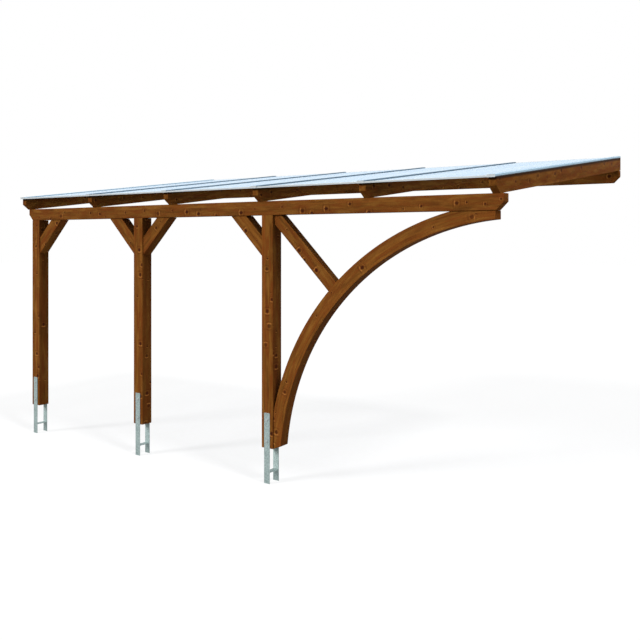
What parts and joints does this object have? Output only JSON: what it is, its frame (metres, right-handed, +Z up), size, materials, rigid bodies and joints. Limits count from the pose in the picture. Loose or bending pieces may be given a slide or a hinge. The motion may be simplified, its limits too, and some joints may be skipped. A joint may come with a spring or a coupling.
{
  "type": "lean-to carport",
  "caption": "Wall-attached timber carport with a sweeping arch brace at its open end, knee-braced posts, sloping rafters and a translucent twin-wall sheet roof.",
  "frame": {"origin": "middle of the back face of the wall plate, where it meets the house wall", "axes": "+X runs along the eaves towards the arched end, +Y points into the wall, +Z is up"},
  "size_m": [5.437, 3.0305, 2.8983],
  "materials": {
    "stained_timber": "planed softwood with a translucent nut-brown stain, knots and grain showing",
    "twin_wall_sheet": "clear twin-wall polycarbonate, pale blue by reflected sky, with fine ribs along the slope",
    "bar_aluminium": "mill-finish extrusion",
    "edge_aluminium": "bright anodised extrusion",
    "galvanised_steel": "hot-dip galvanised, dull grey with a faint spangle"
  },
  "bodies": {
    "root": {"left_post": "stained_timber", "middle_post": "stained_timber", "right_post": "stained_timber", "front_beam": "stained_timber", "wall_plate": "stained_timber", "left_post_brace": "stained_timber", "middle_post_left_brace": "stained_timber", "middle_post_right_brace": "stained_timber", "right_post_brace": "stained_timber", "arch_brace": "stained_timber", "arch_strut": "stained_timber", "rafter_1": "stained_timber", "rafter_2": "stained_timber", "rafter_3": "stained_timber", "rafter_4": "stained_timber", "rafter_5": "stained_timber", "rafter_6": "stained_timber", "roof_sheet_1": "twin_wall_sheet", "roof_sheet_2": "twin_wall_sheet", "roof_sheet_3": "twin_wall_sheet", "roof_sheet_4": "twin_wall_sheet", "roof_sheet_5": "twin_wall_sheet", "glazing_bar_1": "bar_aluminium", "glazing_bar_2": "bar_aluminium", "glazing_bar_3": "bar_aluminium", "glazing_bar_4": "bar_aluminium", "glazing_bar_5": "bar_aluminium", "glazing_bar_6": "bar_aluminium", "sheet_edge_1": "edge_aluminium", "sheet_edge_2": "edge_aluminium", "sheet_edge_3": "edge_aluminium", "sheet_edge_4": "edge_aluminium", "sheet_edge_5": "edge_aluminium", "left_anchor": "galvanised_steel", "middle_anchor": "galvanised_steel", "right_anchor": "galvanised_steel"}
  },
  "joints": []
}
